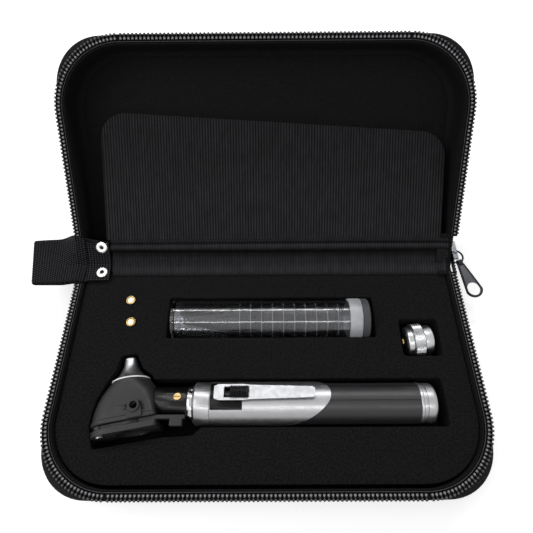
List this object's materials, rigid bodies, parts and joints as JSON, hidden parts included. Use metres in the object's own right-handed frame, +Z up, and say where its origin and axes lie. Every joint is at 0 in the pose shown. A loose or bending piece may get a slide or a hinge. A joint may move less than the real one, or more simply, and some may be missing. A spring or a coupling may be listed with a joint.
{
  "type": "otoscope carry case",
  "caption": "Zip-up hard case standing open, with a divider flap in the lid and foam pockets that hold a pocket otoscope, a tube of ear specula, an adapter and spare lamps.",
  "frame": {"origin": "centre of the flat underside of the base", "axes": "+X along the hinge to the zip slider's end, +Y from the front edge to the hinge, +Z up"},
  "size_m": [0.247, 0.2005, 0.104],
  "materials": {
    "shell_leatherette": "matt fine grain",
    "lining_textile": "matt",
    "foam": "matt foam",
    "zip_tape_teeth": "satin",
    "zip_metal": "satin",
    "ring_metal": "dark satin",
    "flap_textile": "ribbed matt",
    "strap_webbing": "coarse weave",
    "rivet_metal": "bright",
    "head_plastic": "satin",
    "cone_metal": "bright satin",
    "white_plastic": "gloss",
    "lens_frame_plastic": "satin",
    "steel_pin": "satin",
    "lens_glass": "clear",
    "neck_plastic": "gloss",
    "screw_brass": "bright",
    "ring_chrome": "polished",
    "sleeve_metal": "satin",
    "handle_black": "satin black",
    "switch_black": "matt",
    "cell_jacket": "satin",
    "spring_steel": "bright",
    "clear_plastic": "clear plastic",
    "specula_plastic": "gloss",
    "frosted_plastic": "frosted plastic",
    "cap_grey": "matt textured",
    "lamp_brass": "bright",
    "lamp_glass": "clear"
  },
  "bodies": {
    "base": {"base_shell": "shell_leatherette", "foam_insert": "foam", "zip_row_base": "zip_tape_teeth", "zip_bottom_stop": "zip_metal", "hinge_strip_base": "lining_textile", "handle_strap": "strap_webbing", "strap_rivet_base": "rivet_metal"},
    "lid": {"lid_shell": "shell_leatherette", "lid_lining": "lining_textile", "zip_row_lid": "zip_tape_teeth", "hinge_strip_lid": "lining_textile", "tape_end_tab": "shell_leatherette", "strap_end_lid": "strap_webbing", "strap_rivet_lid": "rivet_metal"},
    "flap": {"divider_flap": "flap_textile"},
    "slider": {"zip_slider": "zip_metal"},
    "ring": {"pull_ring": "ring_metal"},
    "puller": {"zip_puller": "ring_metal"},
    "otoscope": {"head_housing": "head_plastic", "head_cone": "cone_metal", "cone_ring": "white_plastic", "lens_frame": "lens_frame_plastic", "lens_pivot": "steel_pin", "port_nipple": "head_plastic", "neck": "neck_plastic", "lamp": "lamp_glass", "neck_screw": "screw_brass", "chrome_ring": "ring_chrome", "collar": "sleeve_metal", "handle_tube": "handle_black", "sleeve": "sleeve_metal", "switch_base": "switch_black", "pocket_clip": "ring_chrome", "batteries": "cell_jacket", "battery_spring": "spring_steel"},
    "lens": {"lens_carrier": "head_plastic", "viewing_lens": "lens_glass"},
    "switch": {"slide_switch": "switch_black"},
    "handle_cap": {"end_cap": "sleeve_metal"},
    "specula_tube": {"tube_body": "clear_plastic", "tube_plug": "clear_plastic", "specula": "specula_plastic"},
    "tube_lid": {"tube_cap": "frosted_plastic", "cap_disc": "cap_grey"},
    "adapter": {"adapter_shell": "sleeve_metal", "adapter_insulator": "switch_black", "adapter_contact": "screw_brass"},
    "lamp_back": {"spare_lamp_back": "lamp_brass", "spare_lamp_back_glass": "lamp_glass"},
    "lamp_front": {"spare_lamp_front": "lamp_brass", "spare_lamp_front_glass": "lamp_glass"}
  },
  "joints": [
    {"name": "lid_hinge", "type": "hinge", "parent": "base", "child": "lid", "pos_m": [0, 0.0565, 0.02], "axis": [-1, 0, 0], "range_deg": [-132, 48]},
    {"name": "flap_hinge", "type": "hinge", "parent": "lid", "child": "flap", "pos_m": [0, 0.06698, 0.0294], "axis": [1, 0, 0], "range_deg": [0, 130]},
    {"name": "zip_slide", "type": "slide", "parent": "base", "child": "slider", "axis": [0, -1, 0], "range_m": [0, 0.07]},
    {"name": "ring_swing", "type": "hinge", "parent": "slider", "child": "ring", "pos_m": [0.102, 0.0635, 0.0157], "axis": [0, 1, 0], "range_deg": [0, 60]},
    {"name": "puller_swing", "type": "hinge", "parent": "ring", "child": "puller", "pos_m": [0.10717, 0.05981, 0.0157], "axis": [-0.9455, -0.3256, 0], "range_deg": [-35, 80]},
    {"name": "otoscope_lift", "type": "slide", "parent": "base", "child": "otoscope", "axis": [0, 0, 1], "range_m": [0, 0.045]},
    {"name": "lens_swivel", "type": "hinge", "parent": "otoscope", "child": "lens", "pos_m": [-0.07531, -0.02738, 0.019], "axis": [0.1736, -0.9848, 0], "range_deg": [0, 60]},
    {"name": "switch_slide", "type": "slide", "parent": "otoscope", "child": "switch", "axis": [-1, 0, 0], "range_m": [0, 0.0024]},
    {"name": "handle_cap_turn", "type": "hinge", "parent": "otoscope", "child": "handle_cap", "pos_m": [0.075, -0.0155, 0.0136], "axis": [1, 0, 0], "range_deg": [0, 360]},
    {"name": "tube_lift", "type": "slide", "parent": "base", "child": "specula_tube", "axis": [0, 0, 1], "range_m": [0, 0.04]},
    {"name": "tube_lid_turn", "type": "hinge", "parent": "specula_tube", "child": "tube_lid", "pos_m": [0.05, 0.0273, 0.0129], "axis": [1, 0, 0], "range_deg": [0, 180]},
    {"name": "adapter_lift", "type": "slide", "parent": "base", "child": "adapter", "axis": [0, 0, 1], "range_m": [0, 0.035]},
    {"name": "lamp_back_lift", "type": "slide", "parent": "base", "child": "lamp_back", "axis": [0, 0, 1], "range_m": [0, 0.03]},
    {"name": "lamp_front_lift", "type": "slide", "parent": "base", "child": "lamp_front", "axis": [0, 0, 1], "range_m": [0, 0.03]}
  ]
}
